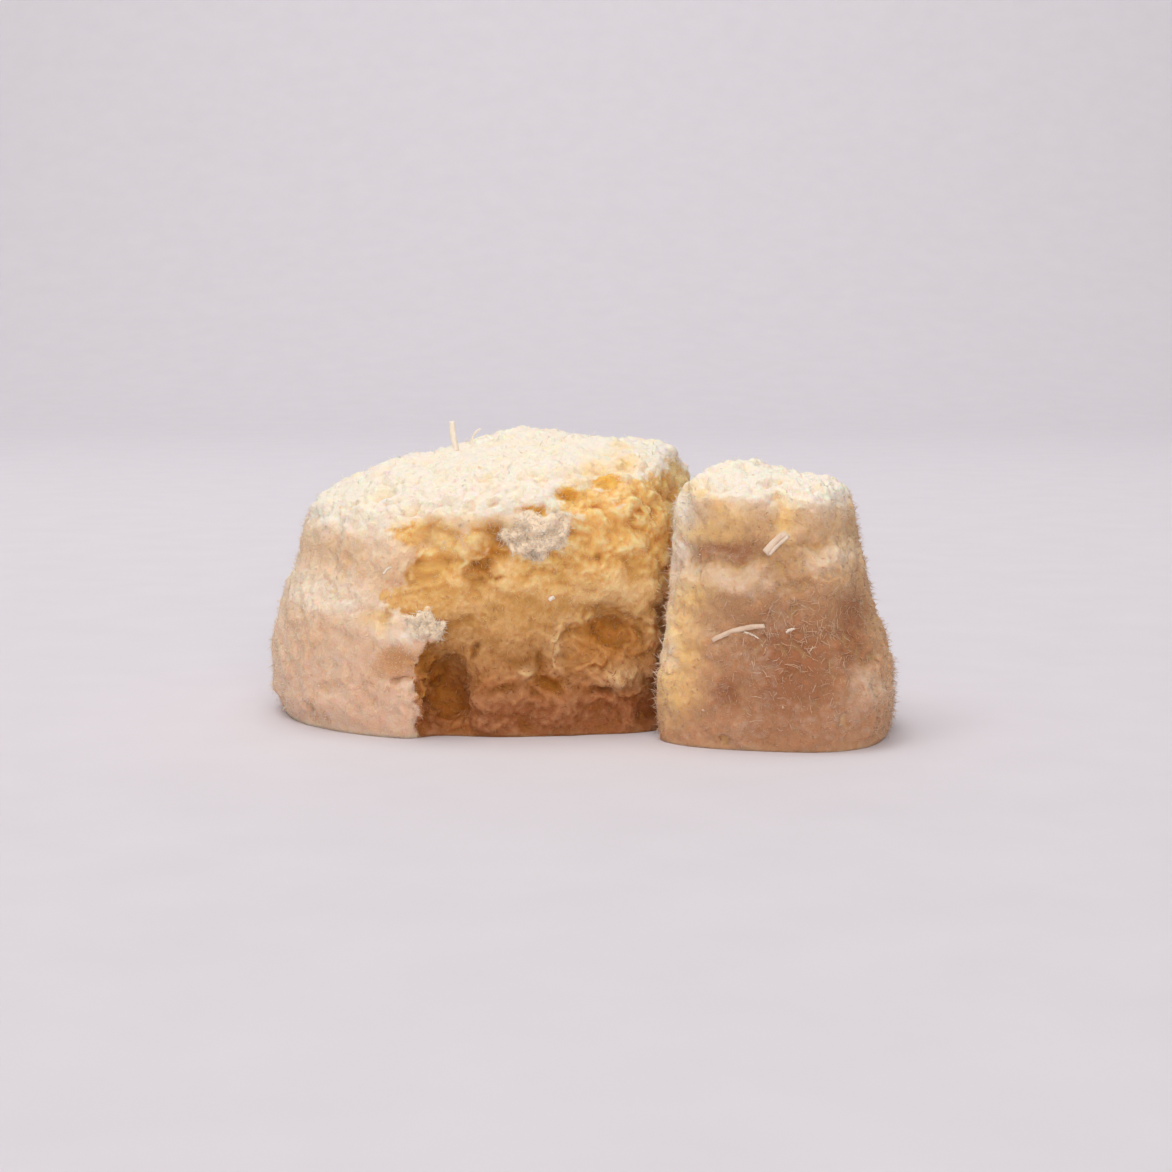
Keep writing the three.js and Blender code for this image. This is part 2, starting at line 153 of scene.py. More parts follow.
# Places where the crumb is bright gold, in the pockets under the crest, and where it is deep amber, in pits,
# the cave and the cavity beside the lip, one of them turned by some degrees. The gold is partly painted
# shade in the pockets, and the amber is painted shade.
CAKE_GOLD_SHADE = ((-2.9, 38.0, 2.4, 1.4), (3.6, 39.8, 3.0, 1.2), (-8.2, 35.4, 2.4, 1.0))
CAKE_AMBER_SHADE = (
    (-23.6, 8.4, 2.4, 6.4, 24), (-15.9, 25.9, 2.0, 1.0), (3.0, 15.0, 5.4, 2.4), (-5.7, 8.1, 2.0, 1.0),
    (-14.6, 28.4, 2.0, 1.2),
)
# Places where the crumb is pale: the shelf, the ridge beside the cave, lumps near the foot, under the brow.
# This is partly the crumb's own paler colour and partly painted highlight where the crumb stands out.
CAKE_PALE_AND_LIT = (
    (6.0, 22.6, 7.0, 2.2), (-4.4, 14.0, 1.2, 3.4), (-9.2, 10.2, 1.4, 1.3), (5.5, 9.0, 3.6, 2.2),
    (-23.6, 30.6, 3.0, 1.6),
)
# Clumps of coating that hang over the tear, and that end the lip low on its left: middle and half sizes.
CAKE_CLUMPS = (
    ((-10.0, -28.6, 31.0), (2.8, 2.7, 2.7)), ((-8.2, -28.7, 29.8), (3.0, 2.9, 2.5)),
    ((-5.8, -28.5, 31.4), (3.1, 2.9, 2.7)), ((-7.6, -28.6, 33.0), (3.2, 2.7, 2.5)),
    ((-4.6, -28.2, 34.0), (1.8, 2.2, 1.5)), ((-25.0, -31.8, 18.4), (2.1, 1.9, 1.6)),
    ((-23.4, -31.0, 17.2), (1.8, 2.0, 1.6)),
)
# Where loose shreds are thickest on the front of the broken-off piece.
PIECE_SHRED_SPOTS = ((32.5, 17.0, 6.5, 6.5),)
# Large flakes of coconut on a front: x, z, length, width, slope in degrees, curl, bow, tone.
PIECE_FLAKES = (
    (28.5, 31.3, 4.4, 1.5, 42, 0.1, 0.1, 0.45), (22.8, 18.2, 8.4, 0.8, 18, 0.1, 0.5, 0.35),
    (28.9, 31.0, 4.0, 0.5, 44, 0.1, 0.1, 0.6),
    (24.9, 17.6, 2.4, 0.25, -23, 0.2, 0.1, 0.8), (30.6, 18.4, 1.4, 0.4, 25, 0.1, 0.1, 0.7),
)
CAKE_FLAKES = ((-5.3, 21.9, 1.0, 0.6, 30, 0.1, 0.1, 0.8), (-30.8, 26.2, 2.0, 0.3, 40, 0.3, 0.2, 0.9))
# Strands that stand up from the crown: x, y, length, width, lean to the right, bow.
CAKE_STRANDS = ((-21.6, -3.0, 5.0, 1.0, -0.16, 0.2), (-19.4, 0.0, 3.2, 0.35, 0.5, 0.5))

# Colours in linear light. Walls are the coating of the sides: low down, high up, and where it is soaked.
# Their tan against the white top is partly painted shade, the piece's darker low wall is painted shade, and
# the soaked colour is partly soaked coating and partly painted shade.
WHITE = (0.93, 0.82, 0.69, 1)
CREAM = (0.94, 0.76, 0.50, 1)
FLAP = (1.0, 0.80, 0.58, 1)
# golden of thin coating, also the colour of painted shade in its hollows and dents
GOLDEN = (0.93, 0.62, 0.25, 1)
CAKE_WALLS = ((0.80, 0.52, 0.36, 1), (0.82, 0.55, 0.33, 1), (0.62, 0.32, 0.14, 1))
PIECE_WALLS = ((0.60, 0.32, 0.175, 1), (0.70, 0.44, 0.23, 1), (0.38, 0.155, 0.07, 1))
# crumb darker towards the foot: partly soaked, partly painted shade
WET_SHADED_CRUMB = (0.38, 0.125, 0.035, 1)
CRUMB = (0.90, 0.54, 0.17, 1)
# pale crumb, also the colour of the painted highlight on lumps of crumb
PALE_CRUMB = (0.98, 0.75, 0.44, 1)
# a deeper gold for pockets, partly painted shade, and amber for pits and hollows, painted shade
GOLD_SHADE = (0.82, 0.46, 0.08, 1)
AMBER_SHADE = (0.55, 0.20, 0.012, 1)
COCONUT = (0.95, 0.85, 0.72, 1)
CAKE_BITS = (0.90, 0.68, 0.48, 1)
PIECE_BITS = (0.70, 0.44, 0.27, 1)

# Scattered bits of coconut and crumb: their sizes, and how far they may rise out of the surface.
GRAINS = {"length": (0.16, 0.34), "width": (0.1, 0.2)}
GRANULES = {"length": (0.4, 0.9), "width": (0.22, 0.42)}
GRAIN_RISE = 0.7
GRAIN_LIFT = 0.03
GRAIN_UNEVEN = 0.1  # as a share of the greatest width
SHREDS = {
    "length": (0.9, 2.2), "width": (0.06, 0.1), "thick": (0.04, 0.06),
    "curl": (-0.1, 0.2), "bow": (-0.2, 0.2),
}
SHRED_RISE = 0.5
SHRED_LIFT = 0.08
SHRED_SECTIONS = 3
FUZZ = {"length": (0.3, 0.8), "radius": (0.03, 0.05)}
SPIKES = {"length": (0.5, 1.7), "radius": (0.05, 0.09)}
CRUMB_FIBRES = {"length": (0.3, 1.1), "radius": (0.045, 0.08)}
FUZZ_RISE = 2.0
TONE_SPREAD = 0.5
TONE_DROP = 0.1
LOWEST_BIT = 0.02  # no corner of a bit lies lower

# Large flakes, which lie, and strands, which stand up.
TO_VIEWER = np.array([0.0, -1.0, 0.0])
FLAKE_LIFT = 0.15
FLAKE_THICKNESS = 0.06
FLAKE_UNEVEN = 0.025
FLAKE_SECTIONS = 13
STRAND_MIDDLE = 0.45  # height of a strand's middle, as a share of its length
STRAND_CURL = 0.1
STRAND_TONE = 1.0
FAR = 100.0  # rays start this far out

# Corners of a strip's cross-section as shares of its width and thickness, how much its ends narrow, and the
# faces of a grain and of a spike.
STRIP_CORNERS = ((-0.5, -0.5), (0.5, -0.5), (0.5, 0.5), (-0.5, 0.5))
STRIP_TAPER = 0.6
SPINDLE = np.array([(0, 2, 4), (2, 1, 4), (1, 3, 4), (3, 0, 4), (2, 0, 5), (1, 2, 5), (3, 1, 5), (0, 3, 5)])
SPIKE = np.array([(2, 1, 0), (0, 1, 3), (1, 2, 3), (2, 0, 3)])
SPIKE_ROOT = np.radians((90, 210, 330))

# How thickly bits lie: strays, spots with many, and what is missing on flat places and on the front.
STRAY_GRANULES = 0.01
STRAY_SHREDS = 0.02
SPOT_SHREDS = 1.4
FLAT_FUZZ_LOSS = 0.92
FRONT_SPIKE_LOSS = 0.8
HUNG_SPIKES = 10

# The two pieces of food. whole_front is 1 where the front keeps its coating. tear_from says between which
# places in Y the steps of the tear come to be kept. least_white, the whiteness high up, upper and white_from
# say how white the coating is, at least and by height, and mottle how patchy it is. The whiter coating high
# up is partly painted light.
CAKE = {
    "node": "cake_body",
    "voxel": 0.56,
    "mound": CAKE_MOUND,
    "forms": CAKE_FORMS,
    "bare": CAKE_BARE,
    "golden_and_shade": CAKE_GOLDEN,
    "gold_shade": CAKE_GOLD_SHADE,
    "amber_shade": CAKE_AMBER_SHADE,
    "pale_and_lit": CAKE_PALE_AND_LIT,
    "soaked_and_shade": CAKE_SOAKED_AND_SHADE,
    "clumps": CAKE_CLUMPS,
    "white": CAKE_WHITE_AND_SHADE,
    "frayed": CAKE_FRAYED,
    "calm": CAKE_CALM,
    "eased": CAKE_EASED,
    "whole_front": 0.0,
    "tear_from": (-100.0, -90.0),
    "least_white": 0.15,
    "upper_white_and_light": 0.55,
    "upper": (28.0, 38.0),
    "white_from": (-1.0, 0.0),
    "mottle": 0.1,
    "walls": CAKE_WALLS,
    "bits": CAKE_BITS,
    "flakes": CAKE_FLAKES,
    "strands": CAKE_STRANDS,
    "shred_spots": (),
    "counts": {
        "grains": 6000, "granules": 260, "shreds": 60, "fuzz": 16000, "spikes": 3000, "fibres": 5000,
    },
    "seed": SEED,
}
PIECE = {
    "node": "broken_piece",
    "voxel": 0.28,
    "mound": PIECE_MOUND,
    "forms": PIECE_FORMS,
    "bare": (),
    "golden_and_shade": PIECE_GOLDEN_AND_SHADE,
    "gold_shade": (),
    "amber_shade": (),
    "pale_and_lit": (),
    "soaked_and_shade": PIECE_SOAKED_AND_SHADE,
    "clumps": (),
    "white": PIECE_WHITE_LIGHT_AND_SHADE,
    "frayed": (),
    "calm": (),
    "eased": (),
    "whole_front": 1.0,
    "tear_from": (-30.0, -26.0),
    "least_white": 0.05,
    "upper_white_and_light": 0.85,
    "upper": (32.0, 44.0),
    "white_from": (22.0, 40.0),
    "mottle": 0.0,
    "walls": PIECE_WALLS,
    "bits": PIECE_BITS,
    "flakes": PIECE_FLAKES,
    "strands": (),
    "shred_spots": PIECE_SHRED_SPOTS,
    "counts": {
        "grains": 900, "granules": 20, "shreds": 260, "fuzz": 8000, "spikes": 4000, "fibres": 2000,
    },
    "seed": SEED + 50,
}

# Meshing and smoothing.
FINE_FRONT = -16.5  # in front of this the cake's mesh is twice as fine
FINE_ABOVE = 1.0  # but not lower than this
LOWEST = 0.05  # only points on the ground are lower than this
RELAX_ROUNDS = 20
FINE_RELAX_ROUNDS = 6
COAT_RELAX = 2.4  # how far the coating is smoothed before it gets its relief
CAVITY_ROUNDS = 50
CAVITY_SPACING = 0.3

# Between which values masks go from 0 to 1: how far a place faces the viewer or upwards, its height, its
# depth under the mound, and the edges of spots.
ON_FRONT = (0.05, 0.45)
AROUND_FRONT = (-0.3, 0.1)
WHOLE_FRONT = (-0.8, -0.3)
BITS_FRONT = (0.2, 0.6)
LYING_FLAT = (0.1, 0.75)
BITS_FLAT = (0.3, 0.8)
FOOT_HEIGHTS = (0.0, 1.2)
BITS_HEIGHTS = (0.4, 1.5)
# bits on the crumb darker low down: partly soaked, partly painted shade
WET_SHADED_TONE_HEIGHTS = (8, 26)
TORN_DEPTHS = (0.8, 2.4)
KEPT_DEPTHS = (0.8, 1.6)
BARE_EDGE = (0.1, 0.9)
DENT_EDGE = (0.35, 0.7)
CLUMP_EDGE = (1.0, 1.2)
SPOT_FADE = 0.9
FORM_FADE = 1.2


class Layer(NamedTuple):
    """One layer of noise: round blobs where it has a crease, smooth lumps where it has none."""

    height: float
    size: float
    offset: float = 0.0  # where in the noise it is taken
    crease: float = 0.0  # how sharp the creases between blobs are


# The torn crumb, in layers from coarse to fine.
CRUMB_PULL = Layer(1.6, 5.0)
CRUMB_STRETCH = np.array([0.75, 1.0, 1.2])  # lumps of crumb are longer than they are high
CRUMB_SWELLS = Layer(0.7, 9.0)
CRUMB_CLODS = Layer(0.85, 4.2, 40, 3.5)
CRUMB_LUMPS = Layer(0.4, 2.1, 80, 4.0)
CRUMB_NUBS = Layer(0.2, 1.1, 100, 4.0)
CRUMB_GRAIN = Layer(0.14, 0.7, 120)
CALM_CLODS = 0.4 / CRUMB_CLODS.height  # calm crumb has clods that are 0.4 lower
CALM_LUMPS = 0.7  # and lumps that have lost this share

# The coating, the clumps that hang from it, and their frayed edges.
COAT_CLUMPS = (Layer(0.45, 6.0), Layer(0.5, 3.0, 30))
COAT_TUFTS = (Layer(0.42, 1.7, 50, 5.0), Layer(0.2, 0.8, 70))
COAT_DENTS = (Layer(1.0, 5.0, 200), Layer(0.5, 2.2, 210))
FLAP_TUFTS = (Layer(0.3, 2.6, 90), Layer(0.7, 2.0, 50, 4.0), Layer(0.25, 0.9, 0, 4.0))
FRAYS = (Layer(0.9, 2.2, 15), Layer(0.6, 1.1, 35))
CLUMP_BEND = Layer(0.8, 2.0)
UPRIGHT_TUFTS = 0.4  # share of their height on upright places
DENT_DEPTH = 0.5

# What makes the edges of forms and masks uneven.
FORM_BEND = Layer(1.1, 3.5, 5)
FINE_FORM_BEND = Layer(0.5, 1.4, 25)
RAGGED_EDGE = (Layer(0.7, 2.6), Layer(0.4, 1.2, 9))
RAGGED_TEAR = 1.2
RAGGED_BARE = 0.25
RAGGED_GOLDEN = 0.1
# golden in dents where the coating lies flat: painted shade
DENT_SHADE_GOLDEN = 0.3

# How white the coating is in patches, where it lies flat and where it hangs. Where it lies flat, the whiter
# coating is partly painted light.
WHITE_PATCHES = Layer(0.12, 7.0, 60)
WHITE_MOTTLE = Layer(1.0, 2.6, 70)
FLAT_WHITE_AND_LIGHT = 0.6
HUNG_WHITE = 0.95

# The mask of hollows, which the materials turn into painted shade in hollows and painted highlight on lumps:
# what a level place has, and what each millimetre of depth adds.
LEVEL_HOLLOW_SHADE = 0.5
HOLLOW_SHADE_GAIN = 0.9

# Noise of the materials, in lumps a metre.
CRUMB_MOTTLE = 260
FINE_MOTTLE = 1300
COAT_PATCHES = 220
COAT_GRAIN = 900
COCONUT_DUST = 1100
SPONGE_GRAIN = 1600
FINE_GRAIN = 3500
FIBRE_STREAKS = 1200
FLOOR_MOTTLE = 60
LOW_DETAIL = 2.0

# Spans of the materials: between which values, and what these become where that isn't 0 and 1. Heights are
# shares of TALLEST.
# the crumb darkens towards the foot, partly soaked, partly painted shade
WET_SHADED_TO_DRY = (0.1, 0.62)
DRY_LUMPS = (0.25, 0.6, 0.12, 0.6)
# pale on lumps of crumb: painted highlight
PALE_LIT_LUMPS = (0.1, 0.75)
# amber in hollows of the crumb: painted shade
CRUMB_HOLLOW_SHADE = (0.55, 1.0, 0.0, 0.5)
# pale spots: partly painted highlight
PALE_AND_LIT_SPOTS = (0.1, 1.0, 0.0, 0.4)
# deep gold in pockets, partly painted shade, and amber in pits, the cave and the cavity, painted shade
GOLD_SHADE_SPOTS = (0.1, 1.0)
AMBER_SHADE_SPOTS = (0.1, 1.3)
# walls darker towards the foot, most of all on the piece: painted shade
WALL_SHADE_HEIGHTS = (0.1, 0.6)
SOAKED_AND_SHADE_SPOTS = (0.1, 1.0, 0.0, 0.95)
GRAIN_SPAN = (0.3, 0.7)
CREAM_PATCHES = (0.52, 0.75, 0.0, 0.6)
WHITE_DENSITY = (0.15, 1.0)
# golden spots, partly painted shade, and golden in hollows of the coating, painted shade
GOLDEN_AND_SHADE_SPOTS = (0.1, 1.0, 0.0, 0.7)
COAT_HOLLOW_SHADE = (0.58, 0.95, 0.0, 0.45)
DUST_SPAN = (0.3, 0.7, -0.3, 0.3)
BARE_SPAN = (0.25, 0.75)
SCATTER_WEIGHT = (0.0, 1.0, 0.9, 0.0)  # from lying to hanging coating
SCATTER_METRES = (0.0, 1.0, 0.0015, 0.003)  # from coating to torn crumb
ROUGHNESS = (0.0, 1.0, 0.85, 0.6)
STREAK_SPAN = (0.3, 0.8, -0.15, 0.15)

# Other settings of the materials.
# how strongly hollows hold back the painted highlight on lumps of crumb
HOLLOW_SHADE_DARKENS = -1.5
GRAIN_SHARE = 0.2
SCATTER_RADIUS = (1.0, 0.55, 0.28)
SHINE = 0.3
BITS_ROUGH = 0.6
BUMP = {"Strength": 0.6, "Distance": 0.00035}

# The camera stands this far in front of the plan's zero and this high. It looks along +Y and a little down.
CAMERA_DISTANCE = 367.0
CAMERA_HEIGHT = 65.0
CAMERA_PITCH = math.radians(6.97)
CAMERA_LENS = 67.6
CAMERA_SENSOR = 36.0

# The floor and its backdrop, in metres.
FLOOR_HALF = 3.0
FLOOR_FRONT = -1.5
FLOOR_BACK = 0.9
FLOOR_BEND = 0.8
FLOOR_TOP = 2.4
FLOOR_STEPS = 25
FLOOR_COLOURS = ((0.71, 0.675, 0.71, 1), (0.73, 0.695, 0.73, 1))
FLOOR_ROUGH = 0.9
FLOOR_SHINE = 0.1

# Lights, in metres and watts: place, target, size, power and colour. The glow comes from all around.
LIGHTS = {
    "key": ((-0.52, -0.39, 1.43), (0, 0, 0), 1.1, 9.2, (1.0, 0.985, 0.97)),
    "fill": ((0.1, -1.3, 0.7), (0, 0, 0), 1.0, 10.5, (1.0, 0.985, 0.97)),
    "backdrop": ((0.0, 0.45, 1.5), (0, 1.7, 0.5), 1.4, 14, (1.0, 0.99, 1.0)),
}
GLOW = {"Color": (1.0, 0.98, 0.98, 1), "Strength": 0.2}


def smoothstep(low, high, value):
    share = np.clip((value - low) / (high - low), 0, 1)
    return share * share * (3 - 2 * share)


def unit(vectors):
    return vectors / np.maximum(np.linalg.norm(vectors, axis=1), 1e-12)[:, None]


class Noise:
    """Seeded smooth noise and cell noise in three dimensions."""

    SIZE = 256
    LUMP_GAIN = 1.6  # brings lumps to about -1 to 1
    BLOB_UNEVEN = 1.6  # how much blobs differ in height
    BLOB_DOME = 2.0  # how round blobs are
    BLOB_MEAN = 0.3  # brings blobs to about 0 on average
    WAYS = (11, 23, 37)  # offsets for the three directions of a bend

    def __init__(self, seed):
        draw = np.random.default_rng(seed)
        self.order = draw.permutation(self.SIZE)
        self.gradients = unit(draw.normal(size=(self.SIZE, 3)))
        self.places = draw.random((self.SIZE, 3))
        self.values = draw.random(self.SIZE)

    def pick(self, cell):
        x, y, z = (cell % self.SIZE).T
        order = self.order
        return order[(order[(order[x] + y) % self.SIZE] + z) % self.SIZE]

    def lumps(self, points, size):
        """Smooth lumps of about that size, from about -1 to 1."""
        at = points / size
        cell = np.floor(at).astype(int)
        inside = at - cell
        fade = inside ** 3 * (inside * (inside * 6 - 15) + 10)
        total = np.zeros(len(points))
        for corner in itertools.product((0, 1), repeat=3):
            corner = np.array(corner)
            gradient = self.gradients[self.pick(cell + corner)]
            weight = np.prod(np.where(corner == 1, fade, 1 - fade), axis=1)
            total += weight * np.sum(gradient * (inside - corner), axis=1)
        return self.LUMP_GAIN * total

    def blobs(self, points, size, crease):
        """Round blobs of about that size and of uneven height, with creases between them."""
        at = points / size
        cell = np.floor(at).astype(int)
        total = np.zeros(len(points))
        weights = np.zeros(len(points))
        for step in itertools.product((-1, 0, 1), repeat=3):
            there = cell + np.array(step)
            pick = self.pick(there)
            away = np.sum((there + self.places[pick] - at) ** 2, axis=1)
            weight = np.exp(-crease * away)
            total += weight * (self.BLOB_UNEVEN * self.values[pick] - self.BLOB_DOME * away)
            weights += weight
        return total / weights - self.BLOB_MEAN

    def layer(self, points, layer):
        at = points + layer.offset
        if layer.crease:
            return layer.height * self.blobs(at, layer.size, layer.crease)
        return layer.height * self.lumps(at, layer.size)

    def layers(self, points, layers):
        return sum(self.layer(points, layer) for layer in layers)

    def bends(self, points, layer):
        """A smooth shift in each direction, to break up what looks too even."""
        at = points + layer.offset
        ways = [self.lumps(at + way, layer.size) for way in self.WAYS]
        return layer.height * np.stack(ways, axis=1)


def read(items, name, width, kind=np.float32):
    values = np.empty(len(items) * width, kind)
    items.foreach_get(name, values)
    return values.reshape(-1, width).astype(float if kind == np.float32 else int)


def gathered(index, values, count):
    """Sum of the rows of values that go to each index."""
    return np.stack([np.bincount(index, values[:, i], count) for i in range(3)], axis=1)


class Surface:
    """A closed mesh as arrays of points, edges and triangles, in the cake's plan."""

    def __init__(self, mesh):
        self.mesh = mesh
        self.points = read(mesh.vertices, "co", 3) / MM - PLAN_ORIGIN
        self.edges = read(mesh.edges, "vertices", 2, np.int32)
        mesh.calc_loop_triangles()
        self.triangles = read(mesh.loop_triangles, "vertices", 3, np.int32)
        below = max(mesh.polygons, key=lambda face: face.loop_total)
        self.ground = np.zeros(len(self.points), bool)
        self.ground[list(below.vertices)] = True

    def normals(self):
        a, b, c = (self.points[self.triangles[:, i]] for i in range(3))
        face = np.cross(b - a, c - a)
        return unit(gathered(self.triangles.ravel(), np.repeat(face, 3, axis=0), len(self.points)))

    def relaxed(self, rounds, share=1.0):
        """The points, each moved half way to the middle of its neighbours many times, or less by a share."""
        points = self.points
        ends = np.concatenate((self.edges[:, 0], self.edges[:, 1]))
        others = np.concatenate((self.edges[:, 1], self.edges[:, 0]))
        count = np.bincount(ends, minlength=len(points))[:, None]
        step = np.broadcast_to(0.5 * np.asarray(share), len(points))[:, None]
        for _ in range(rounds):
            points = points + step * (gathered(ends, points[others], len(points)) / count - points)
        points[:, 2] = np.where(self.ground, 0, points[:, 2])
        return points

    def cavity(self):
        """How far each point lies below the smoothed surface, whether the mesh is coarse or fine there."""
        lengths = np.linalg.norm(self.points[self.edges[:, 0]] - self.points[self.edges[:, 1]], axis=1)
        ends = self.edges.ravel()
        spacing = np.bincount(ends, np.repeat(lengths, 2)) / np.bincount(ends)
        share = np.minimum(1, (CAVITY_SPACING / spacing) ** 2)
        return np.sum((self.relaxed(CAVITY_ROUNDS, share) - self.points) * self.normals(), axis=1)

    def write(self):
        self.mesh.vertices.foreach_set("co", ((self.points + PLAN_ORIGIN) * MM).astype(np.float32).ravel())
        self.mesh.update()

    def attribute(self, name, values):
        made = self.mesh.attributes.new(name, "FLOAT", "POINT")
        made.data.foreach_set("value", np.clip(values, 0, 1).astype(np.float32))


def one_face_below(mesh):
    """Swaps the many faces of the flat bottom for one."""
    edit = bmesh.new()
    edit.from_mesh(mesh)
    flat = [face for face in edit.faces if all(vertex.co.z < LOWEST * MM for vertex in face.verts)]
    bmesh.ops.delete(edit, geom=flat, context="FACES")
    bmesh.ops.edgeloop_fill(edit, edges=[edge for edge in edit.edges if edge.is_boundary])
    edit.to_mesh(mesh)
    edit.free()


def linked(name, mesh):
    made = bpy.data.objects.new(name, mesh)
    bpy.context.scene.collection.objects.link(made)
    return made


def remeshed(name, mesh, voxel):
    """A finely and evenly meshed copy of a closed mesh, as a new object."""
    source = linked(name, mesh.copy())
    remesh = source.modifiers.new("remesh", "REMESH")
    remesh.mode = "VOXEL"
    remesh.voxel_size = voxel * MM
    remesh.use_smooth_shade = True
    graph = bpy.context.evaluated_depsgraph_get()
    fine = bpy.data.meshes.new_from_object(source.evaluated_get(graph))
    bpy.data.objects.remove(source)
    one_face_below(fine)
    fine.materials.clear()
    return linked(name, fine)


def refine_front(mesh):
    """Divides the faces of the front once more, but for those along the foot."""
    front = (FINE_FRONT + PLAN_ORIGIN[1]) * MM
    edit = bmesh.new()
    edit.from_mesh(mesh)
    fine = {v for v in edit.verts if v.co.y < front and v.co.z > FINE_ABOVE * MM}
    edges = [edge for edge in edit.edges if all(v in fine for v in edge.verts)]
    bmesh.ops.subdivide_edges(edit, edges=edges, cuts=1, use_grid_fill=True)
    edit.to_mesh(mesh)
    edit.free()


def depth_inside(points, mound):
    """About how deep points lie under the surface of a mound before it was torn."""
    half = np.array(mound["half"])
    shares = np.array(mound["shares"])
    heights = np.array(mound["heights"])
    flat = points[:, :2] - mound["centre"]
    flat[:, 0] -= mound["lean"] * points[:, 2]
    cos, sin = math.cos(mound["yaw"]), math.sin(mound["yaw"])
    local = np.abs(flat @ np.array([[cos, -sin], [sin, cos]])) / half
    share = np.sum(local ** mound["power"], axis=1) ** (1 / mound["power"])
    side = (np.interp(points[:, 2], heights, shares) - share) * half.mean()
    top = np.interp(-share, -shares[WIDEST:], heights[WIDEST:]) - points[:, 2]
    for x, y, radius, height in mound["bumps"]:
        away = np.hypot(points[:, 0] - x, points[:, 1] - y) / radius
        top += height * (1 - smoothstep(0, 1, away))
    return np.where(share < shares[WIDEST], np.minimum(side, top), side)


def ellipse(points, x, z, half_x, half_z, turn=0.0):
    """Squared distance from the middle of an ellipse on the front, 1 at its edge."""
    across = points[:, 0] - x
    up = points[:, 2] - z
    cos, sin = math.cos(math.radians(turn)), math.sin(math.radians(turn))
    return ((across * cos + up * sin) / half_x) ** 2 + ((up * cos - across * sin) / half_z) ** 2


def spots(points, front, places):
    """How much each point lies in spots on the front: 1 in the middle, fading out past their edge."""
    share = np.zeros(len(points))
    for place in places:
        share = np.maximum(share, np.exp(-SPOT_FADE * ellipse(points, *place)))
    return share * front


def standing_out(points, front, forms):
    """How far the forms stand out of the front."""
    out = np.zeros(len(points))
    for *place, height in forms:
        out += height * np.exp(-FORM_FADE * ellipse(points, *place))
    return out * front


def hanging(points, noise, clumps):
    """1 inside the clumps of coating that hang over a tear, 0 away from them."""
    bent = points + noise.bends(points, CLUMP_BEND)
    share = np.zeros(len(points))
    for centre, half in clumps:
        away = np.linalg.norm((bent - np.array(centre)) / np.array(half), axis=1)
        share = np.maximum(share, 1 - smoothstep(*CLUMP_EDGE, away))
    return share


def crumb_relief(points, noise, calm):
    """Height of the torn crumb: clods of sponge drawn out sideways, and small lumps where it isn't calm."""
    pulled = (points + noise.bends(points, CRUMB_PULL)) * CRUMB_STRETCH
    clods = (1 - CALM_CLODS * calm) * noise.layer(pulled, CRUMB_CLODS)
    broad = noise.layer(pulled, CRUMB_SWELLS) + clods
    small = noise.layer(pulled, CRUMB_LUMPS) + noise.layer(points, CRUMB_NUBS)
    return broad + (1 - CALM_LUMPS * calm) * small + noise.layer(points, CRUMB_GRAIN)


def coat_relief(points, noise, masks):
    """Height of the coating: soft clumps with tufts and dents, and coarse tufts where it hangs."""
    rise = UPRIGHT_TUFTS + (1 - UPRIGHT_TUFTS) * masks.flat
    lying = noise.layers(points, COAT_CLUMPS) + rise * noise.layers(points, COAT_TUFTS)
    lying -= DENT_DEPTH * masks.dented
    return (1 - masks.hung) * lying + masks.hung * noise.layers(points, FLAP_TUFTS)


def frayed(points, noise, places):
    """A shift that frays the edges near some places on the front."""
    near = spots(points, 1.0, places)[:, None]
    return near * sum(noise.bends(points, layer) for layer in FRAYS)


class Masks:
    """What a surface is like at each of its points before it gets its relief, mostly from 0 to 1."""

    def __init__(self, surface, food, noise):
        points = surface.points
        normals = surface.normals()
        facing = -normals[:, 1]
        self.points = points
        self.bent = points + noise.bends(points, FORM_BEND) + noise.bends(points, FINE_FORM_BEND)
        self.ragged = noise.layers(points, RAGGED_EDGE)
        self.front = smoothstep(*ON_FRONT, facing)
        self.around = smoothstep(*AROUND_FRONT, facing)
        self.flat = smoothstep(*LYING_FLAT, normals[:, 2])
        self.dented = smoothstep(*DENT_EDGE, noise.layers(points, COAT_DENTS))
        self.hung = hanging(points, noise, food["clumps"])
        self.torn = self.torn_open(food, facing) * (1 - self.hung)

    def torn_open(self, food, facing):
        """1 where the crumb shows: inside the mound as it was, and in bare spots."""
        whole = food["whole_front"] * smoothstep(*WHOLE_FRONT, facing)
        depth = depth_inside(self.points, food["mound"]) + RAGGED_TEAR * self.ragged
        bare = spots(self.points, self.front, food["bare"]) + RAGGED_BARE * self.ragged
        return np.maximum(smoothstep(*TORN_DEPTHS, depth) * (1 - whole), smoothstep(*BARE_EDGE, bare))


def raised(surface, food, noise, masks):
    """The points of a surface with the relief of its crumb and coating, which ends at the foot."""
    points = surface.points
    foot = smoothstep(*FOOT_HEIGHTS, points[:, 2])
    calm = spots(points, 1.0, food["calm"])
    crumb = crumb_relief(points, noise, calm)
    relief = masks.torn * crumb + (1 - masks.torn) * coat_relief(points, noise, masks)
    moved = points + surface.normals() * (relief * foot)[:, None]
    moved[:, 1] -= standing_out(masks.bent, masks.front, food["forms"]) * (1 - masks.hung) * foot
    moved += frayed(points, noise, food["frayed"]) * foot[:, None]
    moved[:, 2] = np.where(surface.ground, 0, np.maximum(moved[:, 2], LOWEST))
    return moved


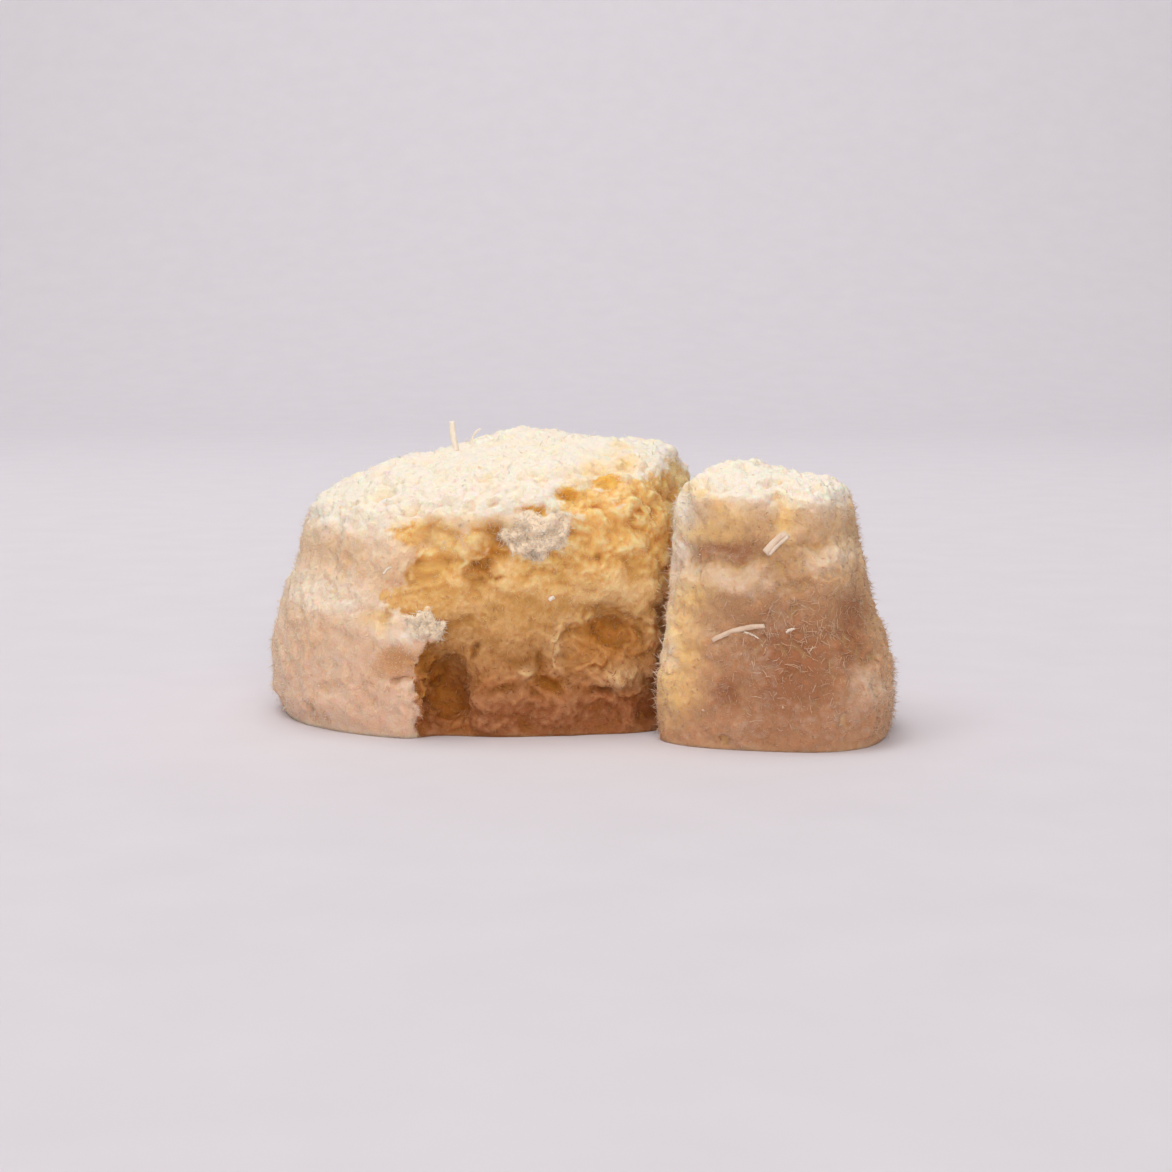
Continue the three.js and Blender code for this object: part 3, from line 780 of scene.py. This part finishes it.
def whiteness(food, noise, masks):
    """How white the coating is, by height, by how flat it lies, in patches and in spots. Whiter high up and
    where it lies flat is partly painted light, and most of the spots are painted light and shade.
    """
    height = masks.points[:, 2]
    lying = FLAT_WHITE_AND_LIGHT * masks.flat * smoothstep(*food["white_from"], height)
    white = food["least_white"] + lying + food["upper_white_and_light"] * smoothstep(*food["upper"], height)
    patches = noise.layer(masks.points, WHITE_PATCHES)
    patches += food["mottle"] * noise.layer(masks.points, WHITE_MOTTLE)
    return white + patches + standing_out(masks.bent, masks.around, food["white"])


def painted(surface, food, masks, white):
    """Writes the masks that the material reads."""
    # golden in uneven patches, and in dents where the coating lies flat as painted shade
    patchy_and_dent_shade = RAGGED_GOLDEN * masks.ragged + DENT_SHADE_GOLDEN * masks.dented * masks.flat
    surface.attribute("torn", masks.torn)
    surface.attribute("hung", masks.hung)
    surface.attribute("white", white)
    surface.attribute("hollow_shade", LEVEL_HOLLOW_SHADE + HOLLOW_SHADE_GAIN * surface.cavity())
    surface.attribute("golden_and_shade", spots(masks.bent, masks.around, food["golden_and_shade"]) + patchy_and_dent_shade)
    surface.attribute("gold_shade", spots(masks.points, masks.front, food["gold_shade"]))
    for name in ("amber_shade", "pale_and_lit", "soaked_and_shade"):
        surface.attribute(name, spots(masks.bent, masks.front, food[name]))
    surface.attribute("height", masks.points[:, 2] / TALLEST)


def dressed(surface, food):
    """Gives a surface its relief, and the masks that its material and its bits of coconut go by."""
    noise = Noise(food["seed"])
    masks = Masks(surface, food, noise)
    white = whiteness(food, noise, masks)
    surface.points = raised(surface, food, noise, masks)
    surface.write()
    painted(surface, food, masks, white)
    # bits on the crumb are darker low down, partly soaked, partly painted shade
    wet_shaded_crumb_tone = smoothstep(*WET_SHADED_TONE_HEIGHTS, masks.points[:, 2])
    coat_tone = np.clip(white * (1 - masks.hung) + HUNG_WHITE * masks.hung, 0, 1)
    surface.torn = masks.torn
    surface.hung = masks.hung
    surface.tone = masks.torn * wet_shaded_crumb_tone + (1 - masks.torn) * coat_tone


def add(tree, kind, inputs=None, **settings):
    """Adds a node. An input is either a value or the socket that it is linked to."""
    made = tree.nodes.new(kind)
    for key, value in settings.items():
        setattr(made, key, value)
    for key, value in (inputs or {}).items():
        if isinstance(value, bpy.types.NodeSocket):
            tree.links.new(value, made.inputs[key])
        else:
            made.inputs[key].default_value = value
    return made


def mix(tree, factor, first, second):
    return add(tree, "ShaderNodeMix", {0: factor, 6: first, 7: second}, data_type="RGBA").outputs[2]


def maths(tree, operation, *inputs):
    return add(tree, "ShaderNodeMath", dict(enumerate(inputs)), operation=operation).outputs[0]


def attribute(tree, name):
    return add(tree, "ShaderNodeAttribute", attribute_name=name).outputs["Fac"]


def noise_value(tree, scale, detail=3.0):
    where = add(tree, "ShaderNodeTexCoord").outputs["Object"]
    inputs = {"Vector": where, "Scale": scale, "Detail": detail}
    return add(tree, "ShaderNodeTexNoise", inputs).outputs["Fac"]


def span(tree, value, low, high, to_low=0.0, to_high=1.0):
    ends = {"Value": value, "From Min": low, "From Max": high, "To Min": to_low, "To Max": to_high}
    return add(tree, "ShaderNodeMapRange", ends).outputs["Result"]


def new_material(name, **constants):
    """A material of one principled shader, with constant inputs by name."""
    material = bpy.data.materials.new(name)
    material.use_nodes = True
    tree = material.node_tree
    tree.nodes.clear()
    shader = add(tree, "ShaderNodeBsdfPrincipled")
    add(tree, "ShaderNodeOutputMaterial", {"Surface": shader.outputs["BSDF"]})
    for key, value in constants.items():
        shader.inputs[key.replace("_", " ")].default_value = value
    return material, tree, shader


def crumb_colour(tree, height):
    """Dark at the foot, as soaked crumb and painted shade; pale on lumps, as painted highlight; amber in
    hollows, as painted shade; and with spots of its own.
    """
    hollow_shade = attribute(tree, "hollow_shade")
    crumb = mix(tree, span(tree, height, *WET_SHADED_TO_DRY), WET_SHADED_CRUMB, CRUMB)
    fine_mottle = noise_value(tree, FINE_MOTTLE, LOW_DETAIL)
    mottle = maths(tree, "ADD", noise_value(tree, CRUMB_MOTTLE), fine_mottle)
    pale_and_lit = span(tree, maths(tree, "MULTIPLY_ADD", hollow_shade, HOLLOW_SHADE_DARKENS, mottle), *PALE_LIT_LUMPS)
    dry = span(tree, height, *DRY_LUMPS)
    crumb = mix(tree, maths(tree, "MULTIPLY", pale_and_lit, dry), crumb, PALE_CRUMB)
    crumb = mix(tree, span(tree, hollow_shade, *CRUMB_HOLLOW_SHADE), crumb, AMBER_SHADE)
    crumb = mix(tree, span(tree, attribute(tree, "pale_and_lit"), *PALE_AND_LIT_SPOTS), crumb, PALE_CRUMB)
    crumb = mix(tree, span(tree, attribute(tree, "gold_shade"), *GOLD_SHADE_SPOTS), crumb, GOLD_SHADE)
    return mix(tree, span(tree, attribute(tree, "amber_shade"), *AMBER_SHADE_SPOTS), crumb, AMBER_SHADE)


def coat_colour(tree, height, walls):
    """White coconut over the colour of the walls, which darkens low down and in soaked spots partly as
    painted shade; golden where it is thin, and golden in hollows as painted shade.
    """
    low, high, soaked_and_shade = walls
    wall = mix(tree, span(tree, height, *WALL_SHADE_HEIGHTS), low, high)
    wall = mix(tree, span(tree, attribute(tree, "soaked_and_shade"), *SOAKED_AND_SHADE_SPOTS), wall, soaked_and_shade)
    grain = span(tree, noise_value(tree, COAT_GRAIN, LOW_DETAIL), *GRAIN_SPAN)
    density = maths(tree, "MULTIPLY_ADD", grain, GRAIN_SHARE, attribute(tree, "white"))
    white = mix(tree, span(tree, noise_value(tree, COAT_PATCHES), *CREAM_PATCHES), WHITE, CREAM)
    coat = mix(tree, span(tree, density, *WHITE_DENSITY), wall, white)
    coat = mix(tree, span(tree, attribute(tree, "golden_and_shade"), *GOLDEN_AND_SHADE_SPOTS), coat, GOLDEN)
    coat = mix(tree, span(tree, attribute(tree, "hollow_shade"), *COAT_HOLLOW_SHADE), coat, GOLDEN)
    return mix(tree, attribute(tree, "hung"), coat, FLAP)


def cake_material(name, walls):
    """Soaked sponge under a coating of coconut, by the masks on the mesh."""
    material, tree, shader = new_material(name, Subsurface_Radius=SCATTER_RADIUS, Specular_IOR_Level=SHINE)
    height = attribute(tree, "height")
    torn = attribute(tree, "torn")
    dust = span(tree, noise_value(tree, COCONUT_DUST, LOW_DETAIL), *DUST_SPAN)
    bare = span(tree, maths(tree, "ADD", torn, dust), *BARE_SPAN)
    grain = maths(tree, "ADD", noise_value(tree, SPONGE_GRAIN), noise_value(tree, FINE_GRAIN))
    sockets = {
        "Base Color": mix(tree, bare, coat_colour(tree, height, walls), crumb_colour(tree, height)),
        "Subsurface Weight": span(tree, attribute(tree, "hung"), *SCATTER_WEIGHT),
        "Subsurface Scale": span(tree, torn, *SCATTER_METRES),
        "Roughness": span(tree, torn, *ROUGHNESS),
        "Normal": add(tree, "ShaderNodeBump", {"Height": grain, **BUMP}).outputs["Normal"],
    }
    for key, socket in sockets.items():
        tree.links.new(socket, shader.inputs[key])
    return material


def bits_material(name, dull, bright):
    """Small bits, each of its own tone between dull and bright, with streaks of fibre."""
    material, tree, shader = new_material(name, Roughness=BITS_ROUGH, Specular_IOR_Level=SHINE)
    streaks = span(tree, noise_value(tree, FIBRE_STREAKS, LOW_DETAIL), *STREAK_SPAN)
    tone = maths(tree, "ADD", attribute(tree, "tone"), streaks)
    tree.links.new(mix(tree, tone, dull, bright), shader.inputs["Base Color"])
    return material


def scattered(surface, weight, count, draw):
    """Points, normals and tones on a surface, drawn by area and by a weight for each vertex."""
    corners = surface.points[surface.triangles]
    area = np.linalg.norm(np.cross(corners[:, 1] - corners[:, 0], corners[:, 2] - corners[:, 0]), axis=1)
    chance = area * weight[surface.triangles].mean(axis=1)
    chosen = draw.choice(len(area), count, p=chance / chance.sum())
    mixing = draw.dirichlet((1, 1, 1), count)[:, :, None]
    points = np.sum(corners[chosen] * mixing, axis=1)
    normals = unit(np.sum(surface.normals()[surface.triangles[chosen]] * mixing, axis=1))
    tone = surface.tone[surface.triangles[chosen, 0]] + TONE_SPREAD * draw.random(count) ** 2 - TONE_DROP
    return points, normals, np.clip(tone, 0, 1)


def directions(normals, draw, lift):
    """A random direction along the surface for each normal, raised out of it by up to the lift."""
    random = draw.normal(size=normals.shape)
    along = unit(random - normals * np.sum(random * normals, axis=1)[:, None])
    return unit(along + normals * (draw.random(len(normals)) * lift)[:, None])


def between(draw, low, high, count):
    return low + (high - low) * draw.random(count)


def axes(normals, along):
    """Three square directions for each bit: along it, across it and up."""
    across = unit(np.cross(normals, along))
    return along, across, np.cross(along, across)


def scaled(vectors, lengths):
    return vectors * np.asarray(lengths)[:, None]


def strips(points, normals, along, length, width, thick, curl, bow, sections):
    """Corners of strips whose ends curl up and bow sideways, four in each cross-section."""
    along, across, up = axes(normals, along)
    rows = []
    for station in np.linspace(-0.5, 0.5, sections):
        taper = 1 - STRIP_TAPER * station ** 2
        bent = 4 * station ** 2  # 0 in the middle and 1 at both ends
        middle = points + scaled(along, length * station) + scaled(up, curl * bent)
        middle = middle - scaled(across, bow * bent)
        for side, rise in STRIP_CORNERS:
            rows.append(middle + scaled(across, width * side * taper) + scaled(up, thick * rise))
    return np.stack(rows, axis=1)


def strip_faces(sections):
    faces = [(3, 2, 1, 0)]
    for row in range(sections - 1):
        low, high = 4 * row, 4 * row + 4
        faces += [(low + i, low + (i + 1) % 4, high + (i + 1) % 4, high + i) for i in range(4)]
    last = 4 * (sections - 1)
    return np.array(faces + [(last, last + 1, last + 2, last + 3)])


def joined(name, corners, faces, tone):
    """One object of many alike bits: corners by bit, the faces of one bit, and tones by bit."""
    bits, per_bit, _ = corners.shape
    sides = faces.shape[1]
    corners[:, :, 2] = np.maximum(corners[:, :, 2], LOWEST_BIT)
    index = (faces[None] + (np.arange(bits) * per_bit)[:, None, None]).reshape(-1)
    mesh = bpy.data.meshes.new(name)
    mesh.vertices.add(bits * per_bit)
    mesh.vertices.foreach_set("co", ((corners + PLAN_ORIGIN) * MM).astype(np.float32).ravel())
    mesh.loops.add(len(index))
    mesh.loops.foreach_set("vertex_index", index.astype(np.int32))
    mesh.polygons.add(len(index) // sides)
    mesh.polygons.foreach_set("loop_start", np.arange(0, len(index), sides, dtype=np.int32))
    mesh.update(calc_edges=True)
    mesh.validate()
    made = mesh.attributes.new("tone", "FLOAT", "POINT")
    made.data.foreach_set("value", np.repeat(tone, per_bit).astype(np.float32))
    return linked(name, mesh)


def grains(name, surface, weight, count, size, seed):
    """Grains of coconut that lie on the coating."""
    draw = np.random.default_rng(seed)
    points, normals, tone = scattered(surface, weight, count, draw)
    along, across, up = axes(normals, directions(normals, draw, GRAIN_RISE))
    reach = (
        scaled(along, between(draw, *size["length"], count) / 2),
        scaled(across, between(draw, *size["width"], count) / 2),
        scaled(up, between(draw, *size["width"], count) / 2),
    )
    middle = points + normals * GRAIN_LIFT
    corners = np.stack([middle + sign * way for way in reach for sign in (1, -1)], axis=1)
    corners += draw.normal(scale=GRAIN_UNEVEN * size["width"][1], size=corners.shape)
    return joined(name, corners, SPINDLE, tone)


def shreds(name, surface, weight, count, seed):
    """Fine curled shreds of coconut."""
    draw = np.random.default_rng(seed)
    points, normals, tone = scattered(surface, weight, count, draw)
    along = directions(normals, draw, SHRED_RISE)
    sizes = [between(draw, *ends, count) for ends in SHREDS.values()]
    corners = strips(points + normals * SHRED_LIFT, normals, along, *sizes, SHRED_SECTIONS)
    return joined(name, corners, strip_faces(SHRED_SECTIONS), tone)


def fuzz(name, surface, weight, count, size, seed):
    """Hair-thin ends of fibre that stand out of the surface."""
    draw = np.random.default_rng(seed)
    points, normals, tone = scattered(surface, weight, count, draw)
    along, across, up = axes(normals, directions(normals, draw, FUZZ_RISE))
    radius = between(draw, *size["radius"], count)
    root = [
        points + scaled(across, radius * math.cos(turn)) + scaled(up, radius * math.sin(turn))
        for turn in SPIKE_ROOT
    ]
    tip = points + scaled(along, between(draw, *size["length"], count))
    return joined(name, np.stack(root + [tip], axis=1), SPIKE, tone)


def on_front(tree, x, z):
    """The point of a surface that is hit from the front."""
    point, *_ = tree.ray_cast(Vector((x, -FAR, z)), Vector((0, 1, 0)))
    return np.array(point)


def on_top(tree, x, y):
    """The point of a surface that is hit from above."""
    point, *_ = tree.ray_cast(Vector((x, y, FAR)), Vector((0, 0, -1)))
    return np.array(point)


def lying_flake(tree, x, z, length, width, slope, curl, bow, tone):
    """What strips and joined need to make a flake that lies on the front, clear of it all along."""
    reach = length / 2 * np.array([math.cos(math.radians(slope)), math.sin(math.radians(slope))])
    stations = np.linspace(-1, 1, FLAKE_SECTIONS)
    under = np.array([on_front(tree, *(np.array([x, z]) + way * reach)) for way in stations])
    along = under[-1] - under[0]
    middle = (under[0] + under[-1]) / 2
    middle[1] += np.min(under[:, 1] - middle[1] - stations / 2 * along[1]) - FLAKE_LIFT
    return middle, TO_VIEWER, along, length, width, FLAKE_THICKNESS, curl, bow, tone


def standing_strand(tree, x, y, length, width, lean, bow):
    """The same for a strand that stands up from the crown."""
    along = unit(np.array([[lean, 0.0, 1.0]]))[0]
    middle = on_top(tree, x, y) + along * length * STRAND_MIDDLE
    return middle, TO_VIEWER, along, length, width, FLAKE_THICKNESS, STRAND_CURL, bow, STRAND_TONE


def flakes(name, surface, food):
    """Large flakes that can be told apart: some lie on the front, and strands stand up from the crown."""
    tree = BVHTree.FromPolygons(surface.points.tolist(), surface.triangles.tolist())
    rows = [lying_flake(tree, *place) for place in food["flakes"]]
    rows += [standing_strand(tree, *place) for place in food["strands"]]
    points, normals, along, *sizes, tone = (np.array(column) for column in zip(*rows))
    corners = strips(points, unit(normals), unit(along), *sizes, FLAKE_SECTIONS)
    corners += np.random.default_rng(food["seed"]).normal(scale=FLAKE_UNEVEN, size=corners.shape)
    return joined(name, corners, strip_faces(FLAKE_SECTIONS), tone)


def finish_piece(piece, material):
    piece.data.materials.append(material)
    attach(piece, "root")


def smoothed_coat(surface, food):
    """Smooths the coating more than the torn crumb and the clumps at its edge."""
    noise = Noise(food["seed"])
    torn = smoothstep(*KEPT_DEPTHS, depth_inside(surface.points, food["mound"]))
    torn *= smoothstep(*food["tear_from"], surface.points[:, 1])
    torn *= 1 - spots(surface.points, 1.0, food["eased"])
    share = (1 - torn) * (1 - hanging(surface.points, noise, food["clumps"]))
    rounds = round(2 * (COAT_RELAX / food["voxel"]) ** 2)
    surface.points = surface.relaxed(rounds, share)


def sponge_piece(food):
    """The sponge of one node with its coating, and its surface for what lies on it."""
    node = food["node"]
    first = remeshed(node + "_smoothed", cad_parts[node].data, food["voxel"])
    surface = Surface(first.data)
    surface.points = surface.relaxed(RELAX_ROUNDS)
    smoothed_coat(surface, food)
    surface.write()
    sponge = remeshed(node + "_visual", first.data, food["voxel"])
    bpy.data.objects.remove(first)
    if node == CAKE["node"]:
        refine_front(sponge.data)
    surface = Surface(sponge.data)
    surface.points = surface.relaxed(FINE_RELAX_ROUNDS)
    dressed(surface, food)
    finish_piece(sponge, cake_material(node + "_sponge", food["walls"]))
    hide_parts(node)
    return surface


def weights(surface, food):
    """How thickly each kind of bit lies at each point of a surface."""
    normals = surface.normals()
    above = smoothstep(*BITS_HEIGHTS, surface.points[:, 2])
    front = smoothstep(*BITS_FRONT, -normals[:, 1])
    coat = (1 - surface.torn) * above
    upright = coat * (1 - FLAT_FUZZ_LOSS * smoothstep(*BITS_FLAT, normals[:, 2]))
    shredded = spots(surface.points, front, food["shred_spots"])
    return {
        "grains": coat,
        "granules": (surface.hung + STRAY_GRANULES * coat) * above,
        "shreds": coat * (STRAY_SHREDS + SPOT_SHREDS * shredded),
        "fuzz": upright,
        "spikes": upright * (1 - FRONT_SPIKE_LOSS * front) + HUNG_SPIKES * surface.hung * above,
        "fibres": surface.torn * above,
    }


def food_piece(food, crumb):
    """One node's sponge, and the coconut and fibres on it."""
    node = food["node"]
    seed = food["seed"]
    surface = sponge_piece(food)
    coconut = bits_material("coconut_" + node, food["bits"], COCONUT)
    on = {kind: (surface, weight, food["counts"][kind]) for kind, weight in weights(surface, food).items()}
    parts = (
        (grains("coconut_grains_" + node, *on["grains"], GRAINS, seed + 1), coconut),
        (grains("coconut_granules_" + node, *on["granules"], GRANULES, seed + 6), coconut),
        (shreds("coconut_shreds_" + node, *on["shreds"], seed + 2), coconut),
        (fuzz("coconut_fuzz_" + node, *on["fuzz"], FUZZ, seed + 3), coconut),
        (fuzz("coconut_spikes_" + node, *on["spikes"], SPIKES, seed + 5), coconut),
        (flakes("coconut_flakes_" + node, surface, food), coconut),
        (fuzz("crumb_fibres_" + node, *on["fibres"], CRUMB_FIBRES, seed + 4), crumb),
    )
    for piece, material in parts:
        finish_piece(piece, material)


def camera():
    data = bpy.data.cameras.new("camera")
    data.lens = CAMERA_LENS
    data.sensor_width = CAMERA_SENSOR
    made = linked("camera", data)
    made.location = (PLAN_ORIGIN + (0, -CAMERA_DISTANCE, CAMERA_HEIGHT)) * MM
    made.rotation_euler = (math.pi / 2 - CAMERA_PITCH, 0, 0)
    bpy.context.scene.camera = made


def floor():
    """A pale floor that curves up into a backdrop far behind the cake."""
    turns = np.linspace(0, math.pi / 2, FLOOR_STEPS)
    bend = [(FLOOR_BACK + FLOOR_BEND * math.sin(a), FLOOR_BEND - FLOOR_BEND * math.cos(a)) for a in turns]
    line = [(FLOOR_FRONT, 0.0)] + bend + [(FLOOR_BACK + FLOOR_BEND, FLOOR_TOP)]
    mesh = bpy.data.meshes.new("floor")
    vertices = [(x, y, z) for y, z in line for x in (-FLOOR_HALF, FLOOR_HALF)]
    faces = [(2 * i, 2 * i + 1, 2 * i + 3, 2 * i + 2) for i in range(len(line) - 1)]
    mesh.from_pydata(vertices, [], faces)
    mesh.polygons.foreach_set("use_smooth", [True] * len(faces))
    material, tree, shader = new_material("floor", Roughness=FLOOR_ROUGH, Specular_IOR_Level=FLOOR_SHINE)
    mottle = span(tree, noise_value(tree, FLOOR_MOTTLE), *GRAIN_SPAN)
    tree.links.new(mix(tree, mottle, *FLOOR_COLOURS), shader.inputs["Base Color"])
    mesh.materials.append(material)
    linked("floor", mesh)


def area_light(name, place, target, size, power, colour):
    data = bpy.data.lights.new(name, "AREA")
    data.shape = "DISK"
    data.size = size
    data.energy = power
    data.color = colour
    made = linked(name, data)
    made.location = place
    made.rotation_euler = (Vector(place) - Vector(target)).to_track_quat("Z", "Y").to_euler()


def lights():
    """A large soft light from high on the left, one from the front, one for the backdrop, and a glow."""
    for name, settings in LIGHTS.items():
        area_light(name, *settings)
    world = bpy.data.worlds.new("studio")
    bpy.context.scene.world = world
    world.use_nodes = True
    for key, value in GLOW.items():
        world.node_tree.nodes["Background"].inputs[key].default_value = value
    bpy.context.scene.view_settings.view_transform = "Standard"


def build():
    camera()
    floor()
    lights()
    crumb = bits_material("crumb_fibres", WET_SHADED_CRUMB, PALE_CRUMB)
    food_piece(CAKE, crumb)
    food_piece(PIECE, crumb)


build()
